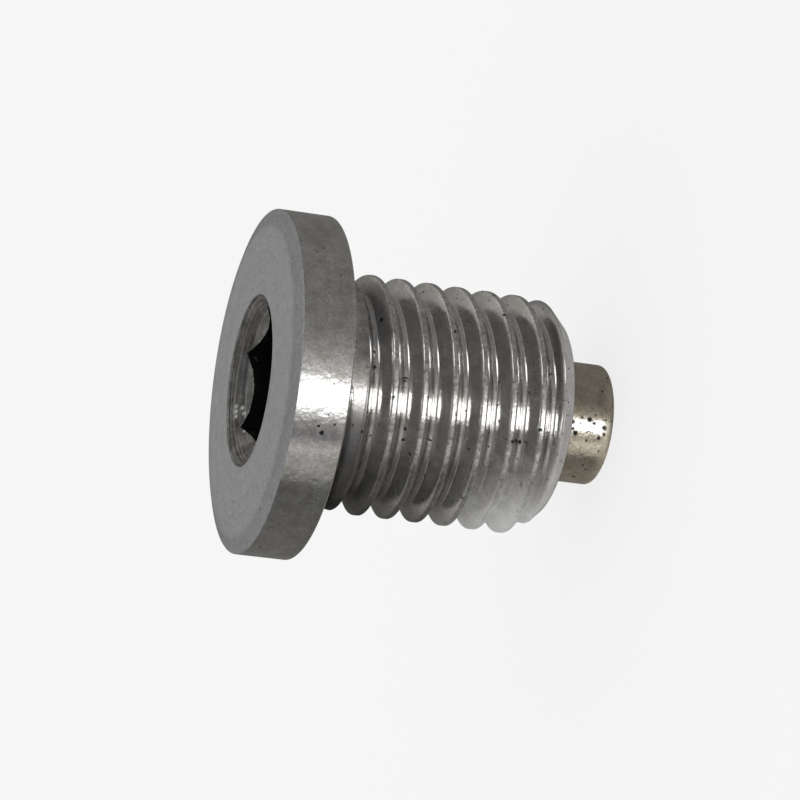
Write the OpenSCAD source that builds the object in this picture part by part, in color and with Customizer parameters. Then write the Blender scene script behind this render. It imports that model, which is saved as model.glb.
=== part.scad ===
// Drain plug: a turned round head with a countersunk hex socket, a threaded
// shank with a chamfered tip, and a round magnet bonded into the tip.
// The origin is the centre of the sealing face under the head. +Z points
// out of the socket, and the plug stands on the flat end of its magnet.

/* [Head] */
// Diameter of the round head
head_d = 17; // [15:0.5:22]
// Thickness of the head, from sealing face to front face
head_t = 2.9; // [2:0.1:5]
// Width of the bevel round the front face, across the radius
bevel_w = 0.7; // [0.2:0.1:1.5]
// Height of the same bevel, along the axis
bevel_h = 0.3; // [0.2:0.1:1]
// Width of the gentle slope between the flat face and that bevel
ease_w = 0.6; // [0.2:0.1:1]
// Fall of that slope, along the axis
ease_h = 0.06; // [0.02:0.02:0.14]
// Break of the sharp edge round the sealing face
head_edge = 0.05; // [0.05:0.05:0.4]

/* [Socket] */
// Diameter of the countersunk mouth at the front face
mouth_d = 8.6; // [7.8:0.1:11]
// Full angle of the countersink
mouth_angle = 86; // [75:1:110]
// Size of the hex socket across its flats
hex_af = 6.5; // [5:0.1:7]
// Depth of the hex socket below the front face
hex_depth = 5.2; // [4.6:0.1:6.5]
// Gap between the flats and the drilled hole under them
drill_gap = 0.15; // [0.05:0.05:0.4]
// Full angle of the drill point that ends that hole
drill_angle = 118; // [90:1:140]

/* [Shank] */
// Length of the shank, from sealing face to tip
shank_l = 12.25; // [10:0.25:20]
// Diameter of the neck under the head, a little less than the thread's
neck_d = 11.5; // [10.8:0.05:11.7]
// Length of the neck
neck_l = 1.5; // [0.6:0.05:2.5]
// Length over which the neck widens to the outer diameter of the thread
widen_l = 1; // [0.4:0.1:3]
// Radius of the fillet between the neck and the sealing face
neck_fillet = 0.25; // [0.1:0.05:0.4]
// Diameter at the end face of the tip
tip_d = 9.92; // [8.5:0.02:11]

/* [Thread] */
// Outer diameter of the thread
thread_d = 11.86; // [11.8:0.02:13]
// Rise of the thread in one turn
pitch = 1.5; // [1.45:0.05:1.75]
// Depth of the thread, from crest to root
thread_depth = 0.83; // [0.6:0.01:0.88]
// Full angle between the two flanks of the groove
flank_angle = 60; // [50:1:62]
// Width of the crest, along the axis
crest_w = 0.26; // [0.15:0.01:0.4]
// Place round the axis where the groove begins to run out into the neck
thread_turn = 177; // [0:1:359]
// Distance of the groove's middle from the sealing face at that place
groove_start = 1.01; // [0.95:0.01:2]
// Turn over which the groove runs out
runout_turn = 115; // [60:5:120]

/* [Magnet] */
// Diameter of the magnet
magnet_d = 6.05; // [4:0.05:8]
// Length of the magnet
magnet_l = 6; // [4:0.1:8]
// Length of the magnet that stands out of the tip
magnet_out = 2.85; // [1:0.05:3.8]
// Radius of its rounded end edges
magnet_edge = 0.2; // [0.1:0.05:0.6]
// Gap between the magnet and the wall of its pocket
magnet_gap = 0.02; // [0.01:0.01:0.05]

/* [Smoothness] */
// Facets round a full circle
circle_facets = 96; // [48:8:144]
// Facets in one turn of the thread
turn_facets = 40; // [32:4:60]

/* [Hidden] */

head_r = head_d / 2;
mouth_r = mouth_d / 2;
neck_r = neck_d / 2;
tip_r = tip_d / 2;
thread_r = thread_d / 2;
magnet_r = magnet_d / 2;

// A cut starts this far outside a face, to leave no skin on it.
overcut = 0.5;

// A six-sided cylinder is measured over its corners.
hex_corner_r = hex_af / 2 / cos(30);
hex_floor_z = head_t - hex_depth;
drill_r = hex_af / 2 - drill_gap;
drill_h = drill_r / tan(drill_angle / 2);

// The countersink is a whole cone, and its point ends inside the hex.
mouth_spread = tan(mouth_angle / 2);
mouth_cone_h = mouth_r / mouth_spread;

tip_chamfer = thread_r - tip_r;

// The groove is cut a little further out than the crest, so that the
// crest keeps the true cylinder of the blank.
flank_spread = tan(flank_angle / 2);
root_w = pitch - crest_w - 2 * thread_depth * flank_spread;
groove_out = 0.1;
groove_r = thread_r + groove_out;
groove_w = root_w + 2 * (thread_depth + groove_out) * flank_spread;
groove_run = shank_l - groove_start + groove_w;
groove_steps = ceil(groove_run / pitch * turn_facets);
runout_steps = ceil(runout_turn / 360 * turn_facets);

pocket_r = magnet_r + magnet_gap;
pocket_l = magnet_l - magnet_out;
pocket_z = -shank_l + pocket_l;

fillet_steps = 6;

module blank() {
    rotate_extrude($fn = circle_facets)
        polygon(concat(
            [
                [0, head_t],
                [head_r - bevel_w - ease_w, head_t],
                [head_r - bevel_w, head_t - ease_h],
                [head_r, head_t - bevel_h],
                [head_r, head_edge],
                [head_r - head_edge, 0]
            ],
            [
                for (i = [0:fillet_steps])
                    let (a = 90 * i / fillet_steps)
                    [
                        neck_r + neck_fillet * (1 - sin(a)),
                        -neck_fillet * (1 - cos(a))
                    ]
            ],
            [
                [neck_r, -neck_l],
                [thread_r, -neck_l - widen_l],
                [thread_r, -shank_l + tip_chamfer],
                [tip_r, -shank_l],
                [0, -shank_l]
            ]
        ));
}

// Half of the groove's section at an angle past thread_turn. There the
// groove gets shallower, and so narrower, until it leaves the neck.
function groove_half(angle) =
    let (left = 1 - max(0, angle) / runout_turn)
    let (depth = groove_out / 2 + left * (thread_depth + groove_out / 2))
    [
        [groove_r, root_w / 2 + depth * flank_spread],
        [groove_r - depth, root_w / 2]
    ];

// The groove is one section carried down a right-hand helix, from its
// run-out under the head to just past the tip.
module thread_groove() {
    angles = [
        for (i = [0:runout_steps]) runout_turn * (1 - i / runout_steps),
        for (i = [1:groove_steps]) -360 * i / turn_facets
    ];
    corners = 4;
    points = [
        for (angle = angles)
            let (half = groove_half(angle))
            for (corner = [half[0], half[1], [half[1][0], -half[1][1]], [half[0][0], -half[0][1]]])
                [
                    corner[0] * cos(angle),
                    corner[0] * sin(angle),
                    -groove_start + pitch * angle / 360 + corner[1]
                ]
    ];
    stretches = len(angles) - 1;
    sides = [
        for (i = [0:stretches - 1], j = [0:corners - 1])
            let (k = (j + 1) % corners)
            let (here = i * corners, next = here + corners)
            each [
                [here + j, next + j, next + k],
                [here + j, next + k, here + k]
            ]
    ];
    last = stretches * corners;
    ends = [
        [for (j = [0:corners - 1]) j],
        [for (j = [corners - 1:-1:0]) last + j]
    ];
    rotate([0, 0, thread_turn])
        polyhedron(points = points, faces = concat(sides, ends), convexity = 20);
}

module socket() {
    translate([0, 0, head_t - mouth_cone_h])
        cylinder(
            h = mouth_cone_h + overcut,
            r1 = 0,
            r2 = mouth_r + overcut * mouth_spread,
            $fn = circle_facets
        );
    translate([0, 0, hex_floor_z])
        cylinder(h = hex_depth + overcut, r = hex_corner_r, $fn = 6);
    translate([0, 0, hex_floor_z - drill_h])
        cylinder(h = drill_h, r1 = 0, r2 = drill_r, $fn = circle_facets);
}

module magnet_pocket() {
    translate([0, 0, -shank_l - overcut])
        cylinder(h = pocket_l + overcut, r = pocket_r, $fn = circle_facets);
}

module plug_body() {
    color([0.56, 0.56, 0.55])
        difference() {
            blank();
            thread_groove();
            socket();
            magnet_pocket();
        }
}

module magnet() {
    inner_r = magnet_r - magnet_edge;
    color([0.52, 0.49, 0.45])
        translate([0, 0, pocket_z - magnet_l])
        rotate_extrude($fn = circle_facets) {
            square([inner_r, magnet_l]);
            translate([0, magnet_edge])
                square([magnet_r, magnet_l - 2 * magnet_edge]);
            for (z = [magnet_edge, magnet_l - magnet_edge])
                translate([inner_r, z])
                    circle(r = magnet_edge, $fn = 32);
        }
}

plug_body();
magnet();
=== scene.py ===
"""The looks of a magnetic drain plug: fine meshes, metal finishes, studio and camera."""

import math

import bpy
import numpy as np
from mathutils import Matrix, Vector


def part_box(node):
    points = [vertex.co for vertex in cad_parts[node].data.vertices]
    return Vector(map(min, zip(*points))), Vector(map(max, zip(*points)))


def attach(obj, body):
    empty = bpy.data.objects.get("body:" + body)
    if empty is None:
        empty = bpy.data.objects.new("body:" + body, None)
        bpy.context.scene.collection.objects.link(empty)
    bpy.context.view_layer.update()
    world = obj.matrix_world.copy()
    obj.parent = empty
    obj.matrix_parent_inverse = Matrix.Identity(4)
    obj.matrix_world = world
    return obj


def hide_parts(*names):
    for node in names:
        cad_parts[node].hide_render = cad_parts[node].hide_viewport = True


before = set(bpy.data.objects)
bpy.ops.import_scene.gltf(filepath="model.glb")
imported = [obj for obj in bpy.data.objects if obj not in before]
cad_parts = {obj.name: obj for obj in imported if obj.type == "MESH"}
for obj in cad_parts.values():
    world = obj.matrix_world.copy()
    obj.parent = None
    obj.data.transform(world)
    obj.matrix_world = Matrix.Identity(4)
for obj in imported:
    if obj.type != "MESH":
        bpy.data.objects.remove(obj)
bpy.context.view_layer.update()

MM = 0.001
BODY = "root"

# Overall sizes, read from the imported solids.
plug_low, plug_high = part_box("plug_body")
magnet_low, magnet_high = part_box("magnet")
HEAD_R = plug_high.x
FACE_Z = plug_high.z
TIP_Z = plug_low.z
MAGNET_R = magnet_high.x
MAGNET_TOP = magnet_high.z
MAGNET_END = magnet_low.z

# The same sizes as the solids, in metres.
BEVEL_W = 0.7 * MM
BEVEL_H = 0.3 * MM
EASE_W = 0.6 * MM
EASE_H = 0.06 * MM
HEAD_EDGE = 0.05 * MM
MOUTH_R = 4.3 * MM
MOUTH_HALF_ANGLE = math.radians(43)
HEX_HALF_AF = 3.25 * MM
HEX_DEPTH = 5.2 * MM
DRILL_R = 3.1 * MM
DRILL_HALF_ANGLE = math.radians(59)
NECK_R = 5.75 * MM
NECK_L = 1.5 * MM
NECK_FILLET = 0.25 * MM
WIDEN_L = 1.0 * MM
TIP_R = 4.96 * MM
THREAD_R = 5.93 * MM
PITCH = 1.5 * MM
THREAD_DEPTH = 0.83 * MM
CREST_W = 0.26 * MM
FLANK_SLOPE = math.tan(math.radians(30))
THREAD_TURN = math.radians(177)
GROOVE_START = 1.01 * MM
RUNOUT_TURN = math.radians(115)
POCKET_R = MAGNET_R + 0.02 * MM
MAGNET_EDGE = 0.2 * MM

# How round the edges of the meshes are.
EDGE_R = 0.06 * MM
TIP_EDGE_R = 0.05 * MM
RIM_EDGE_R = 0.1 * MM
BEVEL_EDGE_R = 2 * MM
EASE_EDGE_R = 5 * MM
HEX_EDGE = 0.03 * MM
CREST_EDGE = 0.05 * MM
ROOT_EDGE = 0.08 * MM

# How finely the meshes follow those sizes.
COLUMNS = 288
ARC_STEPS = 4
# A round corner takes up this share of a stretch beside it at most.
ROUND_SHARE = 0.45
FILLET_STEPS = 8
HEX_ROWS = 10
CONE_ROWS = 44
HEAD_ROW = 0.35 * MM
POCKET_ROW = 0.4 * MM
MAGNET_ROW = 0.15 * MM


def arc_corner(before, corner, after, radius):
    """Points of a round corner between two straight stretches of a profile."""
    corner = np.array(corner, float)
    back = np.array(before, float) - corner
    ahead = np.array(after, float) - corner
    back_l, ahead_l = np.linalg.norm(back), np.linalg.norm(ahead)
    back, ahead = back / back_l, ahead / ahead_l
    half = 0.5 * math.acos(np.clip(back @ ahead, -1, 1))
    run = min(radius / math.tan(half), ROUND_SHARE * back_l, ROUND_SHARE * ahead_l)
    radius = run * math.tan(half)
    middle = back + ahead
    centre = corner + middle / np.linalg.norm(middle) * radius / math.sin(half)
    first, last = corner + back * run - centre, corner + ahead * run - centre
    turn = math.atan2(first[0] * last[1] - first[1] * last[0], first @ last)
    points = []
    for i in range(ARC_STEPS + 1):
        a = turn * i / ARC_STEPS
        c, s = math.cos(a), math.sin(a)
        points.append(centre + (first[0] * c - first[1] * s, first[0] * s + first[1] * c))
    return points


def rounded(profile, radii):
    """A profile of (r, z) points with each inner corner rounded."""
    points = [np.array(profile[0], float)]
    for before, corner, after, radius in zip(profile, profile[1:], profile[2:], radii):
        points += arc_corner(before, corner, after, radius)
    return points + [np.array(profile[-1], float)]


def filled(points, longest):
    """The same profile with long stretches cut into shorter ones."""
    out = [points[0]]
    for a, b in zip(points, points[1:]):
        pieces = max(1, math.ceil(np.linalg.norm(b - a) / longest))
        out += [a + (b - a) * (i + 1) / pieces for i in range(pieces)]
    return out


class Skin:
    """A closed mesh that is built ring by ring round the plug's axis."""

    def __init__(self, columns):
        self.columns = columns
        self.angles = np.arange(columns) * 2 * math.pi / columns
        self.points = []
        self.faces = []
        self.slots = []
        self.last = None

    def add_points(self, r, z):
        """Adds the points of a ring, and returns their numbers."""
        first = len(self.points)
        r = np.broadcast_to(r, (self.columns,))
        z = np.broadcast_to(z, (self.columns,))
        xyz = np.stack([r * np.cos(self.angles), r * np.sin(self.angles), z], 1)
        self.points.extend(xyz.tolist())
        return np.arange(first, first + self.columns)

    def face(self, corners, slot):
        self.faces.append([int(c) for c in corners])
        self.slots.append(slot)

    def pole(self, z):
        """Starts the skin with a point on the axis."""
        self.points.append([0.0, 0.0, float(z)])
        self.last = len(self.points) - 1

    def ring(self, r, z, slot):
        """Adds a ring and joins it to the one before. The slot is one, or one a column."""
        now = self.add_points(r, z)
        beside = np.roll(now, -1)
        slots = np.broadcast_to(slot, (self.columns,)).tolist()
        if isinstance(self.last, int):
            for a, b, own in zip(now, beside, slots):
                self.face((self.last, a, b), own)
        else:
            for a, b, c, d, own in zip(self.last, now, beside, np.roll(self.last, -1), slots):
                self.face((a, b, c, d), own)
        self.last = now

    def close(self, z, slot):
        """Closes the skin with a point on the axis."""
        self.points.append([0.0, 0.0, float(z)])
        end = len(self.points) - 1
        for a, b in zip(self.last, np.roll(self.last, -1)):
            self.face((a, end, b), slot)

    def lathe(self, profile, slot):
        """Adds a ring for each point of a profile."""
        for r, z in profile:
            self.ring(r, z, slot)

    def build(self, name, materials):
        mesh = bpy.data.meshes.new(name)
        mesh.from_pydata(self.points, [], self.faces)
        for material in materials:
            mesh.materials.append(material)
        mesh.polygons.foreach_set("material_index", self.slots)
        mesh.polygons.foreach_set("use_smooth", [True] * len(self.faces))
        mesh.update()
        piece = bpy.data.objects.new(name, mesh)
        bpy.context.scene.collection.objects.link(piece)
        return piece


def soft_min(a, b, width):
    """The smaller of two values, with the corner between them rounded."""
    share = np.clip(0.5 + 0.5 * (b - a) / width, 0, 1)
    return b * (1 - share) + a * share - width * share * (1 - share)


def soft_max(a, b, width):
    """The larger of two values, with the corner between them rounded."""
    return -soft_min(-a, -b, width)


def hex_radius(angles):
    """Distance from the axis to the six flats, with a corner on +X."""
    sector = math.pi / 3
    off = (angles % sector) - sector / 2
    return HEX_HALF_AF / np.cos(off)


def groove_place(angles, z):
    """Distance along the axis to the middle of the nearest groove, and that place's
    turn past the point where the groove begins to run out."""
    past = (z + GROOVE_START) / PITCH - (angles - THREAD_TURN) / (2 * math.pi)
    turns = np.round(past)
    return np.abs(past - turns) * PITCH, angles - THREAD_TURN + turns * 2 * math.pi


def blank_radius(z):
    """The turned blank: neck, crest and tip chamfer."""
    widen = np.clip((-NECK_L - z) / WIDEN_L, 0, 1) * (THREAD_R - NECK_R)
    chamfer = TIP_R + (z - TIP_Z)
    return soft_min(NECK_R + widen, chamfer, CREST_EDGE)


def shank_radius(angles, z):
    """The blank with the groove cut into it, shallower where it runs out."""
    off, turn = groove_place(angles, z)
    left = 1 - np.maximum(turn, 0) / RUNOUT_TURN
    root_w = PITCH - CREST_W - 2 * THREAD_DEPTH * FLANK_SLOPE
    root = THREAD_R - left * THREAD_DEPTH
    groove = root + soft_max((off - root_w / 2) / FLANK_SLOPE, 0 * off, ROOT_EDGE)
    return soft_min(groove, blank_radius(z), CREST_EDGE)


# Places of the mesh lines across half a pitch of the thread, from crest to root, in mm.
CREST_LINES = [0.0, 0.06, 0.1, 0.13, 0.16, 0.21, 0.29, 0.39, 0.49, 0.56, 0.61, 0.67]
# No mesh line comes nearer than this to the flat rings at the ends of the thread.
LINE_GAP = 0.012 * MM


def thread_band(skin, top_z, low_z, slot):
    """The threaded band between two flat rings, on mesh lines that follow the helix."""
    offsets = [t * MM for t in CREST_LINES] + [PITCH / 2]
    offsets += [PITCH - t * MM for t in reversed(CREST_LINES[1:])]
    # A few turns more than the band is long, since each line rises by a pitch.
    turns = int((top_z - low_z) / PITCH) + 4
    crest_z = -GROOVE_START - PITCH / 2 - PITCH * THREAD_TURN / (2 * math.pi)
    crest0 = crest_z + PITCH * math.ceil((top_z - crest_z) / PITCH)
    lines = np.array([crest0 - k * PITCH - o for k in range(turns) for o in offsets])
    top = skin.add_points(shank_radius(skin.angles, np.full(skin.columns, top_z)), top_z)
    low = skin.add_points(shank_radius(skin.angles, np.full(skin.columns, low_z)), low_z)
    for corners in zip(skin.last, top, np.roll(top, -1), np.roll(skin.last, -1)):
        skin.face(corners, slot)
    columns = []
    for angle in skin.angles:
        z = lines + PITCH * angle / (2 * math.pi)
        keep = np.where((z < top_z - LINE_GAP) & (z > low_z + LINE_GAP))[0]
        r = shank_radius(angle, z[keep])
        ids = {}
        for line, radius, height in zip(keep, r, z[keep]):
            ids[int(line)] = len(skin.points)
            skin.points.append([radius * math.cos(angle), radius * math.sin(angle), height])
        columns.append(ids)
    for j in range(skin.columns):
        k = (j + 1) % skin.columns
        here = columns[j]
        # After a whole turn a line carries on as the one a pitch higher.
        shift = len(offsets) if k == 0 else 0
        there = {line + shift: v for line, v in columns[k].items()}
        shared = sorted(set(here) & set(there))
        for a, b in zip(shared, shared[1:]):
            skin.face((here[a], here[b], there[b], there[a]), slot)
        first, last = shared[0], shared[-1]
        above_here = [here[i] for i in sorted(here) if i <= first]
        above_there = [there[i] for i in sorted(there, reverse=True) if i <= first]
        skin.face([top[j]] + above_here + above_there + [top[k]], slot)
        below_here = [here[i] for i in sorted(here) if i >= last]
        below_there = [there[i] for i in sorted(there, reverse=True) if i >= last]
        skin.face(below_here + [low[j], low[k]] + below_there, slot)
    skin.last = low


# Height and spacing in mm, and start, of the rings that the countersink's tool left.
TOOL_RINGS = [(0.012, 0.27, 0.0), (0.007, 0.12, 1.0)]
# Height in mm, count round the axis, and start, of the waves in its ragged lower edge.
EDGE_WAVES = [(0.012, 7, 0.3), (0.012, 13, 1.9), (0.01, 23, 4.0), (0.009, 41, 2.2), (0.008, 67, 5.1)]
# Depth in mm below the front face from which those waves grow.
WAVES_FROM = 0.5


def tool_marks(z, angles):
    """Coarse rings left in the countersink, and a ragged lower edge."""
    along = z / MM * 2 * math.pi
    rings = sum(size * math.sin(along / spacing + start) for size, spacing, start in TOOL_RINGS)
    ragged = sum(size * np.sin(count * angles + start) for size, count, start in EDGE_WAVES)
    growth = np.clip((FACE_Z - z) / MM - WAVES_FROM, 0, 1)
    return (rings + growth * ragged) * MM


def socket_rings(skin, dark, cone):
    """The drilled point, the hex and the countersink, from the bottom up. Returns the
    radius and height where the countersink's rings end."""
    floor_z = FACE_Z - HEX_DEPTH
    drill_h = DRILL_R / math.tan(DRILL_HALF_ANGLE)
    hex_r = hex_radius(skin.angles)
    skin.pole(floor_z - drill_h)
    skin.ring(DRILL_R / 2, floor_z - drill_h / 2, dark)
    skin.ring(DRILL_R, floor_z, dark)
    skin.ring(hex_r - EDGE_R, floor_z, dark)
    cone_tan = math.tan(MOUTH_HALF_ANGLE)
    cone_top = FACE_Z - HEX_EDGE
    # The cone's lowest row lies a little under the place where it meets the flats.
    cone_low = FACE_Z - (MOUTH_R - HEX_HALF_AF) / cone_tan - 0.08 * MM
    for z in np.linspace(floor_z + EDGE_R, cone_low, HEX_ROWS):
        skin.ring(hex_r, z, dark)
    for i in range(1, CONE_ROWS):
        z = cone_low + (cone_top - cone_low) * i / CONE_ROWS
        cone_r = MOUTH_R - (FACE_Z - z) * cone_tan + tool_marks(z, skin.angles)
        skin.ring(soft_max(hex_r, cone_r, HEX_EDGE), z, np.where(cone_r > hex_r, cone, dark))
    return MOUTH_R - HEX_EDGE * cone_tan, cone_top


def head_rings(skin, mouth, face, turned):
    """The front face, bevel, rim and sealing face, and the fillet to the neck."""
    profile = [
        mouth,
        (MOUTH_R, FACE_Z),
        (HEAD_R - BEVEL_W - EASE_W, FACE_Z),
        (HEAD_R - BEVEL_W, FACE_Z - EASE_H),
        (HEAD_R, FACE_Z - BEVEL_H),
        (HEAD_R, HEAD_EDGE),
        (HEAD_R - HEAD_EDGE, 0.0),
        (NECK_R + NECK_FILLET, 0.0),
    ]
    radii = [EDGE_R, EASE_EDGE_R, BEVEL_EDGE_R, RIM_EDGE_R, EDGE_R, EDGE_R]
    # The rim's metal begins just under the round edge of the bevel.
    rim_top = FACE_Z - BEVEL_H - 0.08 * MM
    for r, z in filled(rounded(profile, radii), HEAD_ROW):
        skin.ring(r, z, face if z > rim_top else turned)
    for i in range(1, FILLET_STEPS + 1):
        a = 0.5 * math.pi * i / FILLET_STEPS
        r = NECK_R + NECK_FILLET * (1 - math.sin(a))
        skin.ring(r, -NECK_FILLET * (1 - math.cos(a)), turned)


def tip_rings(skin, slot):
    """The flat end of the tip and the magnet's pocket in it."""
    profile = [
        (TIP_R + TIP_EDGE_R, TIP_Z + TIP_EDGE_R),
        (TIP_R, TIP_Z),
        (POCKET_R, TIP_Z),
        (POCKET_R, MAGNET_TOP),
    ]
    tip = rounded(profile, [TIP_EDGE_R, TIP_EDGE_R])
    skin.lathe(filled(tip[1:], POCKET_ROW), slot)
    skin.close(MAGNET_TOP, slot)


def plug_skin(materials):
    skin = Skin(COLUMNS)
    dark, cone, face, turned, thread = range(5)
    mouth = socket_rings(skin, dark, cone)
    head_rings(skin, mouth, face, turned)
    # The threaded band begins just under the fillet.
    band_top = -NECK_FILLET - 0.02 * MM
    thread_band(skin, band_top, TIP_Z + TIP_EDGE_R, thread)
    tip_rings(skin, turned)
    return skin.build("plug_body_skin", materials)


def magnet_skin(material):
    skin = Skin(COLUMNS)
    skin.pole(MAGNET_TOP)
    profile = [
        (MAGNET_R * 0.5, MAGNET_TOP),
        (MAGNET_R, MAGNET_TOP),
        (MAGNET_R, MAGNET_END),
        (MAGNET_R * 0.4, MAGNET_END),
    ]
    skin.lathe(filled(rounded(profile, [MAGNET_EDGE, MAGNET_EDGE]), MAGNET_ROW), 0)
    skin.close(MAGNET_END, 0)
    return skin.build("magnet_skin", [material])


WHITE = (1.0, 1.0, 1.0)


def tree_of(material):
    material.use_nodes = True
    return material.node_tree


def add(tree, kind, **settings):
    """A new node, with its settings given by name."""
    node = tree.nodes.new(kind)
    for key, value in settings.items():
        setattr(node, key, value)
    return node


def fill(tree, socket, value):
    """Gives a socket a number, a colour or the output of another node."""
    if isinstance(value, (int, float)):
        socket.default_value = value
    elif isinstance(value, tuple):
        socket.default_value = (*value, 1)
    else:
        tree.links.new(value, socket)


def math_node(tree, operation, *values):
    node = add(tree, "ShaderNodeMath", operation=operation)
    for socket, value in zip(node.inputs, values):
        fill(tree, socket, value)
    return node.outputs[0]


def in_degrees(tree, angle):
    return math_node(tree, "MULTIPLY", angle, 180 / math.pi)


def ramp(tree, value, stops):
    """A colour ramp over a value in its own unit. Each stop is a value, and a grey or a
    colour for it. The colour stays the same beyond the first stop and the last."""
    low, high = stops[0][0], stops[-1][0]
    scale = 1 / (high - low)
    node = add(tree, "ShaderNodeValToRGB")
    elements = node.color_ramp.elements
    while len(elements) < len(stops):
        elements.new(0.5)
    for element, (place, colour) in zip(elements, stops):
        element.position = (place - low) * scale
        if isinstance(colour, (int, float)):
            colour = (colour, colour, colour)
        element.color = (*colour, 1)
    share = math_node(tree, "MULTIPLY_ADD", value, scale, -low * scale)
    tree.links.new(share, node.inputs[0])
    return node.outputs[0]


def blend(tree, amount, first, second, mode="MIX"):
    node = add(tree, "ShaderNodeMix", data_type="RGBA", blend_type=mode)
    factor, a, b = node.inputs[0], node.inputs[6], node.inputs[7]
    for socket, value in ((factor, amount), (a, first), (b, second)):
        fill(tree, socket, value)
    return node.outputs[2]


def tinted(tree, colour, *tones):
    """The colour multiplied by each of the tones."""
    for tone in tones:
        colour = blend(tree, 1.0, colour, tone, "MULTIPLY")
    return colour


def noise(tree, vector, scale, detail, rough):
    node = add(tree, "ShaderNodeTexNoise")
    node.inputs["Scale"].default_value = scale
    node.inputs["Detail"].default_value = detail
    node.inputs["Roughness"].default_value = rough
    tree.links.new(vector, node.inputs["Vector"])
    return node.outputs["Fac"]


class Place:
    """Where a point of the plug's surface lies, in millimetres, and how far the surface
    there faces along the axis, from -1 towards the tip to 1 towards the head."""

    def __init__(self, tree):
        self.tree = tree
        coord = add(tree, "ShaderNodeTexCoord")
        scaled = add(tree, "ShaderNodeVectorMath", operation="SCALE")
        scaled.inputs["Scale"].default_value = 1 / MM
        tree.links.new(coord.outputs["Object"], scaled.inputs[0])
        self.plain = scaled.outputs[0]
        facing = add(tree, "ShaderNodeSeparateXYZ")
        tree.links.new(coord.outputs["Normal"], facing.inputs[0])
        self.facing = facing.outputs[2]
        parts = add(tree, "ShaderNodeSeparateXYZ")
        tree.links.new(self.plain, parts.inputs[0])
        x, y, self.z = parts.outputs
        x_square = math_node(tree, "MULTIPLY", x, x)
        y_square = math_node(tree, "MULTIPLY", y, y)
        self.r = math_node(tree, "SQRT", math_node(tree, "ADD", x_square, y_square))
        # On the axis the radius is nothing, and can't be divided by.
        safe = math_node(tree, "MAXIMUM", self.r, 0.01)
        self.cos = math_node(tree, "DIVIDE", x, safe)
        self.sin = math_node(tree, "DIVIDE", y, safe)

    def turned(self, across, along):
        """Coordinates that change fast across the turning marks and slowly along them."""
        tree = self.tree
        join = add(tree, "ShaderNodeCombineXYZ")
        both = math_node(tree, "ADD", self.r, self.z)
        tree.links.new(math_node(tree, "MULTIPLY", both, across), join.inputs[0])
        tree.links.new(math_node(tree, "MULTIPLY", self.cos, along), join.inputs[1])
        tree.links.new(math_node(tree, "MULTIPLY", self.sin, along), join.inputs[2])
        return join.outputs[0]


# Angle round the plug of the side that is lowest in the photograph.
LYING_SIDE = math.radians(171.45)


def lying_angle(tree, place):
    """Degrees round the plug from the side that is lowest in the photograph."""
    along_x = math_node(tree, "MULTIPLY", place.cos, math.cos(LYING_SIDE))
    along_y = math_node(tree, "MULTIPLY", place.sin, math.sin(LYING_SIDE))
    return in_degrees(tree, math_node(tree, "ARCCOSINE", math_node(tree, "ADD", along_x, along_y)))


# Single marks get a ragged edge from a fine noise that shifts them by up to this, in
# mm. Its mean is half of that, and the marks' centres are moved along with it.
MARK_SHIFT = 0.12
MARK_NOISE_SCALE = 9.0


def on_cylinder(radius, marks):
    """Single marks, each given by its angle, height and size, at one radius."""
    return [(angle, radius, z, size) for angle, z, size in marks]


def mark_mask(tree, place, marks, soft):
    """1 inside ragged marks, each given by its angle, radius, height and size."""
    ragged = add(tree, "ShaderNodeTexNoise")
    ragged.inputs["Scale"].default_value = MARK_NOISE_SCALE
    tree.links.new(place.plain, ragged.inputs["Vector"])
    shifted = add(tree, "ShaderNodeVectorMath", operation="MULTIPLY_ADD")
    tree.links.new(ragged.outputs["Color"], shifted.inputs[0])
    shifted.inputs[1].default_value = (MARK_SHIFT, MARK_SHIFT, MARK_SHIFT)
    tree.links.new(place.plain, shifted.inputs[2])
    mean_shift = Vector((MARK_SHIFT, MARK_SHIFT, MARK_SHIFT)) / 2
    nearest = 2.0
    for angle, radius, z, size in marks:
        a = math.radians(angle)
        centre = Vector((radius * math.cos(a), radius * math.sin(a), z)) + mean_shift
        away = add(tree, "ShaderNodeVectorMath", operation="DISTANCE")
        tree.links.new(shifted.outputs[0], away.inputs[0])
        away.inputs[1].default_value = centre
        share = math_node(tree, "MULTIPLY", away.outputs["Value"], 1 / size)
        nearest = math_node(tree, "MINIMUM", share, nearest)
    return ramp(tree, nearest, [(1 - soft, 1.0), (1.0, 0.0)])


PIT_COLOUR = (0.05, 0.045, 0.04)
SPOT_COLOUR = (0.03, 0.028, 0.025)
# Painted highlights take this near-white colour.
GLINT_COLOUR = (0.95, 0.95, 0.93)
# Painted shade: single marks of this dark, bluish colour, mixed in at this share.
PAINTED_SHADE_COLOUR = (0.15, 0.15, 0.18)
PAINTED_SHADE_SHARE = 0.55
# Painted shade near the head.
HEAD_SHADE_COLOUR = (0.12, 0.12, 0.115)
# Painted light: the pale colour of the patch near the tip.
PAINTED_LIGHT_COLOUR = (0.8, 0.8, 0.795)
# Scales of the fine grain and of the slow changes in shine, in waves a millimetre.
GRAIN_SCALE = 8.0
SHINE_SCALE = 0.9
# How soft the edges of the pits are, as a share of the noise that makes them.
PIT_EDGE = 0.03


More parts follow.
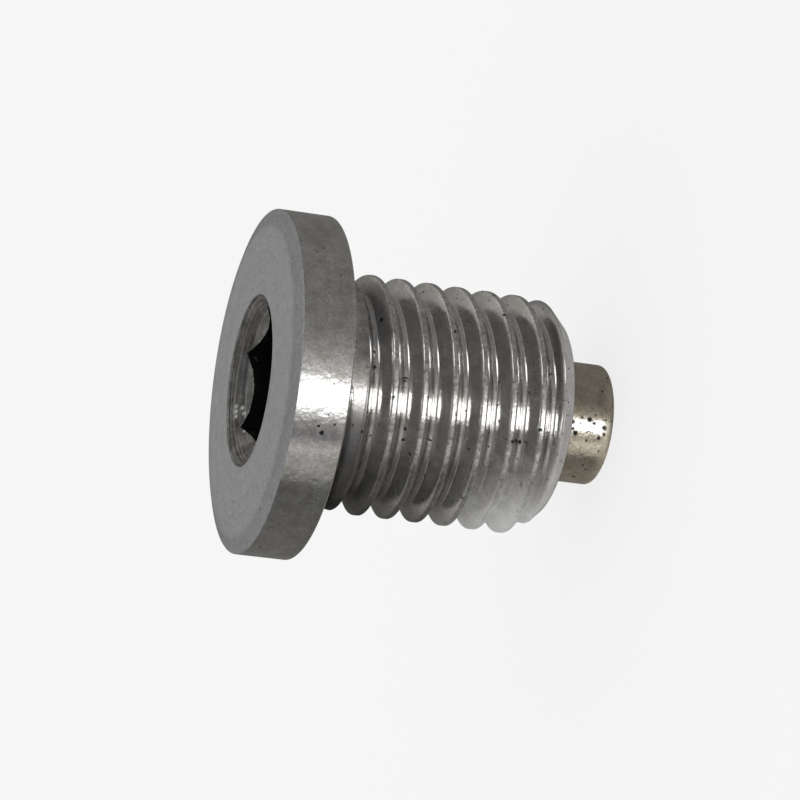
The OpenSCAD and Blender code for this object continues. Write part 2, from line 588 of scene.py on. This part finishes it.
def metal(
    name,
    colours,
    roughness,
    marks,
    pits,
    mottle=1.3,
    tint=None,
    metallic=1.0,
    dull=None,
    spots=(),
    painted_shades=(),
    glints=(),
):
    """A worn, turned metal: mottled colour, turning marks and small dark pits.

    The colours go from dark to light, and the roughness from shiny to matte. The marks
    say how fine the turning marks are across and along them, their darkest tone, their
    depth in mm, and how strong and how fine the dents among them are. The pits have a
    scale, the noise value at which they start and a depth. The tint is a function that
    paints shade or light on parts of the plug, and dull one that roughens them. Spots are
    single dark marks, and the marks of painted shade and the glints, which are painted
    highlights, are single marks too."""
    material = bpy.data.materials.new(name)
    tree = tree_of(material)
    shader = tree.nodes["Principled BSDF"]
    shader.inputs["Metallic"].default_value = metallic
    place = Place(tree)
    streaks = noise(tree, place.turned(marks["across"], marks["along"]), 1.0, 4.0, 0.6)
    specks = noise(tree, place.plain, pits["scale"], 2.0, 0.5)
    pit_mask = ramp(tree, specks, [(pits["start"], 0.0), (pits["start"] + PIT_EDGE, 1.0)])

    patches = noise(tree, place.plain, mottle, 5.0, 0.65)
    colour = ramp(tree, patches, [(0.3, colours[0]), (0.5, colours[1]), (0.72, colours[2])])
    colour = tinted(tree, colour, ramp(tree, streaks, [(0.3, marks["tone"]), (0.6, 1.0)]))
    # The tint paints shade or light on parts of the plug.
    if tint:
        colour = tinted(tree, colour, tint(tree, place))
    grain = noise(tree, place.plain, GRAIN_SCALE, 3.0, 0.65)
    colour = tinted(tree, colour, ramp(tree, grain, [(0.32, 0.82), (0.68, 1.12)]))
    # Painted shade from single marks.
    if painted_shades:
        painted_shade = math_node(tree, "MULTIPLY", mark_mask(tree, place, painted_shades, 1.0), PAINTED_SHADE_SHARE)
        colour = blend(tree, painted_shade, colour, PAINTED_SHADE_COLOUR)
    # Painted highlights from single marks.
    if glints:
        colour = blend(tree, mark_mask(tree, place, glints, 1.0), colour, GLINT_COLOUR)
    colour = blend(tree, pit_mask, colour, PIT_COLOUR)
    if spots:
        colour = blend(tree, mark_mask(tree, place, spots, 0.5), colour, SPOT_COLOUR)
    tree.links.new(colour, shader.inputs["Base Color"])

    shine = noise(tree, place.plain, SHINE_SCALE, 4.0, 0.6)
    rough = ramp(tree, shine, [(0.35, roughness[0]), (0.65, roughness[1])])
    rough = math_node(tree, "ADD", rough, ramp(tree, streaks, [(0.3, 0.06), (0.7, 0.0)]))
    if dull:
        rough = math_node(tree, "ADD", rough, dull(tree, place))
    tree.links.new(rough, shader.inputs["Roughness"])

    pitted = math_node(tree, "SUBTRACT", streaks, math_node(tree, "MULTIPLY", pit_mask, pits["depth"]))
    dents = noise(tree, place.plain, marks["dent_scale"], 3.0, 0.5)
    dents = math_node(tree, "MULTIPLY", dents, marks["dents"])
    bump = add(tree, "ShaderNodeBump")
    bump.inputs["Strength"].default_value = 1.0
    bump.inputs["Distance"].default_value = marks["depth"] * MM
    tree.links.new(math_node(tree, "ADD", pitted, dents), bump.inputs["Height"])
    tree.links.new(bump.outputs[0], shader.inputs["Normal"])
    return material


def socket_metal():
    """The inside of the hex, painted near black as the shade in its depth."""
    marks = {"across": 2.0, "along": 3.0, "tone": 0.6, "depth": 0.01, "dents": 1.0, "dent_scale": 2.0}
    pits = {"scale": 3.0, "start": 0.7, "depth": 1.0}
    # Painted shade: a near-black colour for the socket's depth.
    shade_black = metal("socket_shade_black", [0.002, 0.003, 0.006], (0.5, 0.7), marks, pits, metallic=0.0)
    shade_black.node_tree.nodes["Principled BSDF"].inputs["Specular IOR Level"].default_value = 0.08
    return shade_black


def cone_metal():
    """The countersink, with coarse turning marks, painted shade on one side and painted highlights on
    another.
    """
    marks = {"across": 7.0, "along": 0.5, "tone": 0.25, "depth": 0.02, "dents": 0.3, "dent_scale": 2.0}
    pits = {"scale": 3.0, "start": 0.72, "depth": 1.0}
    colours = [(0.13, 0.125, 0.115), (0.27, 0.265, 0.255), (0.42, 0.42, 0.41)]
    # Painted shade on one side of the countersink.
    painted_shades = on_cylinder(3.75, [(angle, 2.3, 0.4) for angle in (66, 72, 78, 84)])
    # Painted highlights on the countersink's other side.
    glints = on_cylinder(3.9, [(102, 2.45, 0.16), (106, 2.45, 0.16), (110, 2.45, 0.14)])
    glints += [(104, 3.65, 2.2, 0.16), (109, 3.6, 2.15, 0.14), (126, 3.6, 2.15, 0.12)]
    return metal(
        "countersunk_metal",
        colours,
        (0.3, 0.45),
        marks,
        pits,
        metallic=0.8,
        painted_shades=painted_shades,
        glints=glints,
    )


def bevel_shade(tree, place):
    """Painted shade: darker on the bevel."""
    return ramp(tree, place.r, [(7.4, 1.0), (7.64, 0.9), (7.8, 0.76), (8.4, 0.8)])


def face_metal():
    """The matte front face."""
    marks = {"across": 5.0, "along": 0.6, "tone": 0.9, "depth": 0.004, "dents": 0.6, "dent_scale": 6.0}
    pits = {"scale": 2.4, "start": 0.745, "depth": 1.0}
    colours = [(0.28, 0.282, 0.284), (0.315, 0.317, 0.322), (0.345, 0.35, 0.357)]
    spots = [
        (172, 5.95, 2.9, 0.1),
        (219, 7.35, 2.9, 0.06),
        (217, 7.85, 2.8, 0.06),
        (213, 7.95, 2.8, 0.06),
        (343, 7.95, 2.8, 0.07),
    ]
    return metal(
        "face_metal",
        colours,
        (0.42, 0.52),
        marks,
        pits,
        mottle=2.0,
        tint=bevel_shade,
        metallic=0.3,
        spots=spots,
    )


def rim_metal():
    """The turned rim, the underside of the head and the flat end of the tip."""
    marks = {"across": 3.0, "along": 3.0, "tone": 0.88, "depth": 0.006, "dents": 2.4, "dent_scale": 3.5}
    pits = {"scale": 2.6, "start": 0.72, "depth": 1.0}
    colours = [(0.44, 0.425, 0.405), (0.55, 0.55, 0.545), (0.66, 0.665, 0.67)]
    spots = [
        (248, 1.1, 0.15),
        (250, 1.3, 0.08),
        (251, 0.55, 0.08),
        (254, 0.9, 0.05),
        (253, 0.9, 0.05),
        (313, 1.35, 0.05),
    ]
    # Painted reflection: a darker, bluish band of marks just below the rim's highlight.
    painted_shades = [(247, 0.5, 0.6), (247, 1.0, 0.7), (247, 1.5, 0.75), (247, 2.0, 0.7), (247, 2.5, 0.6)]
    return metal(
        "rim_metal",
        colours,
        (0.08, 0.15),
        marks,
        pits,
        metallic=0.97,
        spots=on_cylinder(8.5, spots),
        painted_shades=on_cylinder(8.5, painted_shades),
    )


def shade_near_head(tree, place):
    """How strong the painted shade is: it lies near the head and along the neck, on the side that lies
    down.
    """
    around = lying_angle(tree, place)
    near_head = ramp(
        tree,
        place.z,
        [(-9.375, 0.0), (-7.5, 0.1), (-5.25, 0.28), (-3.5, 0.62), (-1.5, 1.0)],
    )
    lying = ramp(tree, around, [(22.5, 1.0), (54, 0.22), (81, 0.0)])
    neck = ramp(tree, place.z, [(-2.125, 0.0), (-1.625, 0.85)])
    neck_lying = ramp(tree, around, [(27, 1.0), (76.5, 0.6), (90, 0.0)])
    on_shank = math_node(tree, "MULTIPLY", near_head, lying)
    on_neck = math_node(tree, "MULTIPLY", neck, neck_lying)
    return math_node(tree, "MAXIMUM", on_shank, on_neck)


# Height in mm of the thread's end, just above the tip's chamfer.
THREAD_LOW_Z = -11.2
# How much rougher the thread is where the painted shade near the head is strongest.
HEAD_SHADE_ROUGHNESS = 0.45


def thread_light_and_shade(tree, place):
    """Painted light and shade on the thread. On the upper side the flanks are darker than
    the crests and roots, on the lying side the crests and roots are darker than the
    flanks, and the lowest side is darker still. The painted shade near the head lies over
    it all, and the crests get a random, broken tone."""
    around = lying_angle(tree, place)
    side = ramp(tree, around, [(54, 1.0), (81, 0.0)])
    # Painted shade: darker flanks on the upper side, darker crests and roots on the lying side.
    upper = ramp(tree, place.r, [(5.1, 1.0), (5.13, 0.75), (5.2, 0.88), (5.74, 0.88), (5.9, 1.05)])
    lower = ramp(tree, place.r, [(5.1, 0.84), (5.2, 0.96), (5.74, 0.96), (5.9, 0.86)])
    flanks = blend(tree, side, upper, lower)
    # Painted shade on the lowest side.
    lowest = ramp(tree, around, [(14.4, 0.66), (36, 1.0)])
    # Painted light and shade: on the upper side, above the thread's end, the flanks that face the head
    # are painted brighter than those that face the tip.
    two_sides = ramp(tree, place.facing, [(-0.8, 0.7), (-0.3, 1.0), (0.3, 1.0), (0.8, 1.36)])
    in_groove = math_node(tree, "GREATER_THAN", place.z, THREAD_LOW_Z)
    two_sides = blend(tree, in_groove, WHITE, blend(tree, side, two_sides, WHITE))
    at_crest = ramp(tree, place.r, [(5.84, 0.0), (5.9, 1.0)])
    broken = ramp(tree, noise(tree, place.plain, 5.0, 2.0, 0.6), [(0.38, 0.78), (0.6, 1.12)])
    broken = blend(tree, at_crest, WHITE, broken)
    # Painted shade near the head.
    head_shade = blend(tree, shade_near_head(tree, place), WHITE, HEAD_SHADE_COLOUR)
    return tinted(tree, flanks, lowest, two_sides, broken, head_shade)


def thread_dullness(tree, place):
    """Rougher where the shade near the head is painted, and along the two sides that the photograph
    shows edge on.
    """
    around = lying_angle(tree, place)
    sides = ramp(tree, around, [(10.8, 0.22), (32.4, 0.0), (144, 0.0), (162, 0.22)])
    rough_near_head = math_node(tree, "MULTIPLY", shade_near_head(tree, place), HEAD_SHADE_ROUGHNESS)
    return math_node(tree, "MAXIMUM", rough_near_head, sides)


# The patch of painted light has a ragged border, half of these degrees to either side.
PATCH_RAGGED = 36.0
PATCH_PALENESS = 0.6
THREAD_METALLIC = 0.95
METALLIC_LOST = 0.85


def pale_lit_patch(material):
    """Painted light: a pale, less metallic patch on the lying side near the tip, and a dull,
    less metallic chamfer at the tip all the way round."""
    tree = material.node_tree
    place = Place(tree)
    uneven = noise(tree, place.plain, 0.8, 4.0, 0.6)
    border = math_node(tree, "MULTIPLY_ADD", uneven, PATCH_RAGGED, -PATCH_RAGGED / 2)
    around = math_node(tree, "ADD", lying_angle(tree, place), border)
    lying = ramp(tree, around, [(18, 1.0), (72, 0.0)])
    near_tip = ramp(tree, place.z, [(-9.5, 1.0), (-6.9, 0.0)])
    chamfer = ramp(tree, place.z, [(-11.65, 0.85), (-11.35, 0.0)])
    patch = math_node(tree, "MULTIPLY", lying, near_tip)
    dull = math_node(tree, "MAXIMUM", patch, chamfer)
    shader = tree.nodes["Principled BSDF"]
    metallic = math_node(tree, "MULTIPLY_ADD", dull, -METALLIC_LOST, THREAD_METALLIC)
    tree.links.new(metallic, shader.inputs["Metallic"])
    worn = shader.inputs["Base Color"].links[0].from_socket
    # Painted light: the patch is paled towards a light colour.
    paler = blend(tree, math_node(tree, "MULTIPLY", patch, PATCH_PALENESS), worn, PAINTED_LIGHT_COLOUR)
    tree.links.new(paler, shader.inputs["Base Color"])
    return material


def thread_metal():
    """The cut thread, with painted light and shade: brighter on its crests, darker near the head."""
    marks = {"across": 3.0, "along": 4.0, "tone": 0.86, "depth": 0.004, "dents": 2.0, "dent_scale": 4.0}
    pits = {"scale": 3.2, "start": 0.69, "depth": 2.5}
    colours = [(0.5, 0.485, 0.46), (0.56, 0.55, 0.54), (0.63, 0.63, 0.62)]
    spots = [
        (345, 5.45, -5.2, 0.14),
        (348, 5.4, -5.05, 0.1),
        (351, 5.9, -8.4, 0.12),
        (336, 5.95, -8.5, 0.12),
        (346, 5.4, -9.6, 0.1),
        (352, 5.85, -3.85, 0.07),
        (305, 5.4, -2.3, 0.16),
        (247, 5.1, -9.7, 0.12),
        (249, 5.9, -9.05, 0.12),
        (250, 5.15, -8.05, 0.08),
        (242, 5.1, -8.2, 0.08),
        (241, 5.5, -7.1, 0.08),
        (235, 5.65, -4.25, 0.11),
        (240, 5.1, -2.25, 0.08),
        (244, 5.75, -1.6, 0.1),
        (204, 5.55, -5.8, 0.1),
    ]
    # Painted shade in the first groove, over the first crest where the groove runs out, and on the neck
    # under the head.
    first_groove = [(345 - 7 * i, 5.15 + 0.03 * i, -1.95 - 0.05 * i, 0.85) for i in range(8)]
    first_crest = [(282 + 8 * i, 5.75, -1.35, 0.5) for i in range(8)]
    neck = on_cylinder(5.75, [(243, -0.7, 0.6), (239, -1.2, 0.6), (234, -0.6, 0.8), (229, -1.1, 0.8)])
    steel = metal(
        "thread_metal",
        colours,
        (0.08, 0.16),
        marks,
        pits,
        tint=thread_light_and_shade,
        dull=thread_dullness,
        spots=spots,
        painted_shades=first_groove + first_crest + neck,
    )
    return pale_lit_patch(steel)


def magnet_side_light(tree, place):
    """Painted light: brighter on the lying side."""
    return ramp(tree, lying_angle(tree, place), [(18, 1.9), (72, 1.7), (99, 0.85), (144, 1.1)])


def magnet_dullness(tree, place):
    """Rougher towards both ends of the part that stands out."""
    return ramp(tree, place.z, [(-14.88, 0.4), (-14.48, 0.0), (-13.0, 0.0), (-12.72, 0.35)])


def magnet_metal():
    """The warm, pitted plating of the magnet."""
    marks = {"across": 2.0, "along": 3.0, "tone": 0.85, "depth": 0.008, "dents": 2.2, "dent_scale": 4.0}
    pits = {"scale": 3.6, "start": 0.68, "depth": 1.5}
    colours = [(0.42, 0.37, 0.29), (0.5, 0.46, 0.38), (0.58, 0.54, 0.46)]
    spots = [
        (252, -13.15, 0.17),
        (266, -13.8, 0.17),
        (263, -14.05, 0.12),
        (260, -14.6, 0.17),
        (262, -12.95, 0.15),
        (256, -13.0, 0.12),
        (250, -14.4, 0.12),
        (254, -14.65, 0.12),
        (267, -13.4, 0.09),
        (271, -14.1, 0.08),
        (246, -13.8, 0.08),
        (219, -14.0, 0.08),
        (214, -14.25, 0.08),
        (296, -14.45, 0.09),
    ]
    # Painted highlights where the magnet's highlight lies.
    glints = [(259, z, 0.55) for z in (-13.0, -13.6, -14.2)]
    return metal(
        "magnet_plating",
        colours,
        (0.08, 0.15),
        marks,
        pits,
        tint=magnet_side_light,
        dull=magnet_dullness,
        spots=on_cylinder(3.0, spots),
        glints=on_cylinder(3.0, glints),
    )


# The photograph's camera, as fitted to the plug's outline. Its lens and its sensor are
# in millimetres.
CAMERA_AZIMUTH = math.radians(-98.55)
CAMERA_ELEVATION = math.radians(16.3)
CAMERA_DISTANCE = 164.8 * MM
CAMERA_ROLL = math.radians(-82.62)
CAMERA_LENS = 149.9
CAMERA_SENSOR = 36.0
AIM_Z = -4.876 * MM
NEAREST_SEEN = 5 * MM
FARTHEST_SEEN = 5.0


def add_camera():
    data = bpy.data.cameras.new("camera")
    data.lens = CAMERA_LENS
    data.sensor_width = CAMERA_SENSOR
    data.clip_start = NEAREST_SEEN
    data.clip_end = FARTHEST_SEEN
    camera = bpy.data.objects.new("camera", data)
    bpy.context.scene.collection.objects.link(camera)
    out = Vector(
        (
            math.cos(CAMERA_ELEVATION) * math.cos(CAMERA_AZIMUTH),
            math.cos(CAMERA_ELEVATION) * math.sin(CAMERA_AZIMUTH),
            math.sin(CAMERA_ELEVATION),
        )
    )
    look = out.to_track_quat("Z", "Y").to_matrix().to_4x4()
    roll = Matrix.Rotation(CAMERA_ROLL, 4, "Z")
    place = Matrix.Translation(Vector((0, 0, AIM_Z)) + out * CAMERA_DISTANCE)
    camera.matrix_world = place @ look @ roll
    bpy.context.scene.camera = camera


BACKDROP = (0.922, 0.922, 0.922)
FLOOR_GLOW = 0.85
FLOOR_REACH = 1.5


def floor_paper():
    """Pale paper. Part of what the camera sees of it is its own even colour, so the
    plug's shadow on it stays light."""
    material = bpy.data.materials.new("floor_paper")
    tree = tree_of(material)
    tree.nodes.clear()
    out = add(tree, "ShaderNodeOutputMaterial")
    paper = add(tree, "ShaderNodeBsdfDiffuse")
    paper.inputs["Color"].default_value = (*BACKDROP, 1)
    even = add(tree, "ShaderNodeEmission")
    even.inputs["Color"].default_value = (*BACKDROP, 1)
    even.inputs["Strength"].default_value = 1.0
    path = add(tree, "ShaderNodeLightPath")
    share = math_node(tree, "MULTIPLY", path.outputs["Is Camera Ray"], FLOOR_GLOW)
    both = add(tree, "ShaderNodeMixShader")
    tree.links.new(share, both.inputs[0])
    tree.links.new(paper.outputs[0], both.inputs[1])
    tree.links.new(even.outputs[0], both.inputs[2])
    tree.links.new(both.outputs[0], out.inputs[0])
    return material


def add_floor():
    reach = FLOOR_REACH
    mesh = bpy.data.meshes.new("floor")
    corners = [(-reach, -reach), (reach, -reach), (reach, reach), (-reach, reach)]
    mesh.from_pydata([(x, y, MAGNET_END) for x, y in corners], [], [(0, 1, 2, 3)])
    mesh.materials.append(floor_paper())
    floor = bpy.data.objects.new("floor", mesh)
    bpy.context.scene.collection.objects.link(floor)
    floor.visible_glossy = False


# What the metal mirrors just below its horizon, by the angle round the plug from
# the camera, in degrees. Positive angles are on the lower side of the photograph.
WALLS_AROUND = [
    (-180, 0.16),
    (-140, 0.19),
    (-100, 0.22),
    (-60, 0.23),
    (-38, 0.28),
    (-24, 0.46),
    (-17, 0.66),
    (-10, 0.82),
    (-4, 2.8),
    (12, 2.8),
    (15, 0.9),
    (21, 0.45),
    (32, 0.34),
    (38, 0.8),
    (43, 0.55),
    (57, 0.42),
    (66, 0.13),
    (84, 0.13),
    (110, 0.17),
    (180, 0.16),
]
# The same by the height above the horizon, away from that band.
SKY_BY_HEIGHT = [
    (-90, 0.3),
    (-20, 0.22),
    (6, 0.14),
    (14, 0.24),
    (26, 0.46),
    (38, 0.46),
    (52, 0.2),
    (90, 0.12),
]
BAND_BY_HEIGHT = [(-33, 0.0), (-25, 1.0), (-6, 1.0), (4, 0.0)]
# A small second lamp, seen as glints on the crests and in the roots.
LAMP_AROUND = [(-66, 0.0), (-58, 1.0), (-42, 1.0), (-34, 0.0)]
LAMP_BY_HEIGHT = [(4, 0.0), (14, 1.0), (32, 1.0), (42, 0.0)]
LAMP_TONE = 2.8
# Tones up to this one are a little warm.
WARM_TO = 2.1
WARM = (1.03, 1.0, 0.95)
# A ramp holds tones from 0 to 1, so the room's are divided by this, and its light
# is made as much stronger.
MIRROR_GAIN = 6.0
# What is brighter than this counts as window, and the window counts this much more
# where it is mirrored from flank to flank.
WINDOW_FROM = 1.0
DEEP_WINDOW = 8.0


def room_ramp(tree, value, stops):
    """A ramp of the room's tones."""
    coloured = []
    for place, tone in stops:
        tint = WARM if tone <= WARM_TO else WHITE
        coloured.append((place, tuple(part * tone / MIRROR_GAIN for part in tint)))
    return ramp(tree, value, coloured)


def vector_node(tree, operation, *values):
    """A node of vector arithmetic, with constant vectors or linked ones."""
    node = add(tree, "ShaderNodeVectorMath", operation=operation)
    for socket, value in zip(node.inputs, values):
        if isinstance(value, tuple):
            socket.default_value = value
        else:
            tree.links.new(value, socket)
    return node.outputs


def mirrored_room(tree):
    """The soft room that the metal mirrors: a window by the camera, and dim walls."""
    direction = add(tree, "ShaderNodeTexCoord").outputs["Generated"]

    def towards(azimuth):
        """How far the direction points to an azimuth."""
        level = (math.cos(azimuth), math.sin(azimuth), 0.0)
        return vector_node(tree, "DOT_PRODUCT", direction, level)["Value"]

    aside = towards(CAMERA_AZIMUTH - math.pi / 2)
    around = in_degrees(tree, math_node(tree, "ARCTAN2", aside, towards(CAMERA_AZIMUTH)))
    parts = add(tree, "ShaderNodeSeparateXYZ")
    tree.links.new(direction, parts.inputs[0])
    height = in_degrees(tree, math_node(tree, "ARCSINE", parts.outputs[2]))
    walls = room_ramp(tree, around, WALLS_AROUND)
    sky = room_ramp(tree, height, SKY_BY_HEIGHT)
    room = blend(tree, ramp(tree, height, BAND_BY_HEIGHT), sky, walls)
    lamp = math_node(
        tree,
        "MULTIPLY",
        ramp(tree, around, LAMP_AROUND),
        ramp(tree, height, LAMP_BY_HEIGHT),
    )
    once = blend(tree, lamp, room, (LAMP_TONE / MIRROR_GAIN,) * 3)
    above = vector_node(tree, "SUBTRACT", once, (WINDOW_FROM / MIRROR_GAIN,) * 3)[0]
    window = vector_node(tree, "MAXIMUM", above, (0.0, 0.0, 0.0))[0]
    more = vector_node(tree, "MULTIPLY_ADD", window, (DEEP_WINDOW,) * 3, once)[0]
    # A ray that already went from one mirroring flank to another counts 2 or more.
    path = add(tree, "ShaderNodeLightPath")
    deep = math_node(tree, "GREATER_THAN", path.outputs["Glossy Depth"], 1.5)
    return blend(tree, deep, once, more)


def background(tree, colour, strength):
    node = add(tree, "ShaderNodeBackground")
    fill(tree, node.inputs["Color"], colour)
    node.inputs["Strength"].default_value = strength
    return node.outputs[0]


def mix_shaders(tree, share, first, second):
    node = add(tree, "ShaderNodeMixShader")
    for socket, value in zip(node.inputs, (share, first, second)):
        tree.links.new(value, socket)
    return node.outputs[0]


def add_world():
    """Plain white light, the room for what is mirrored, and the backdrop that is seen."""
    world = bpy.data.worlds.new("studio")
    bpy.context.scene.world = world
    world.use_nodes = True
    world.cycles.sampling_method = "NONE"
    tree = world.node_tree
    tree.nodes.clear()
    light = background(tree, WHITE, 1.0)
    room = background(tree, mirrored_room(tree), MIRROR_GAIN)
    backdrop = background(tree, BACKDROP, 1.0)
    path = add(tree, "ShaderNodeLightPath")
    unseen = mix_shaders(tree, path.outputs["Is Glossy Ray"], light, room)
    whole = mix_shaders(tree, path.outputs["Is Camera Ray"], unseen, backdrop)
    out = add(tree, "ShaderNodeOutputWorld")
    tree.links.new(whole, out.inputs[0])


body = plug_skin([socket_metal(), cone_metal(), face_metal(), rim_metal(), thread_metal()])
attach(body, BODY)
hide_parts("plug_body")
magnet = magnet_skin(magnet_metal())
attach(magnet, BODY)
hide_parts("magnet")
add_camera()
add_floor()
add_world()
bpy.context.scene.view_settings.view_transform = "Standard"
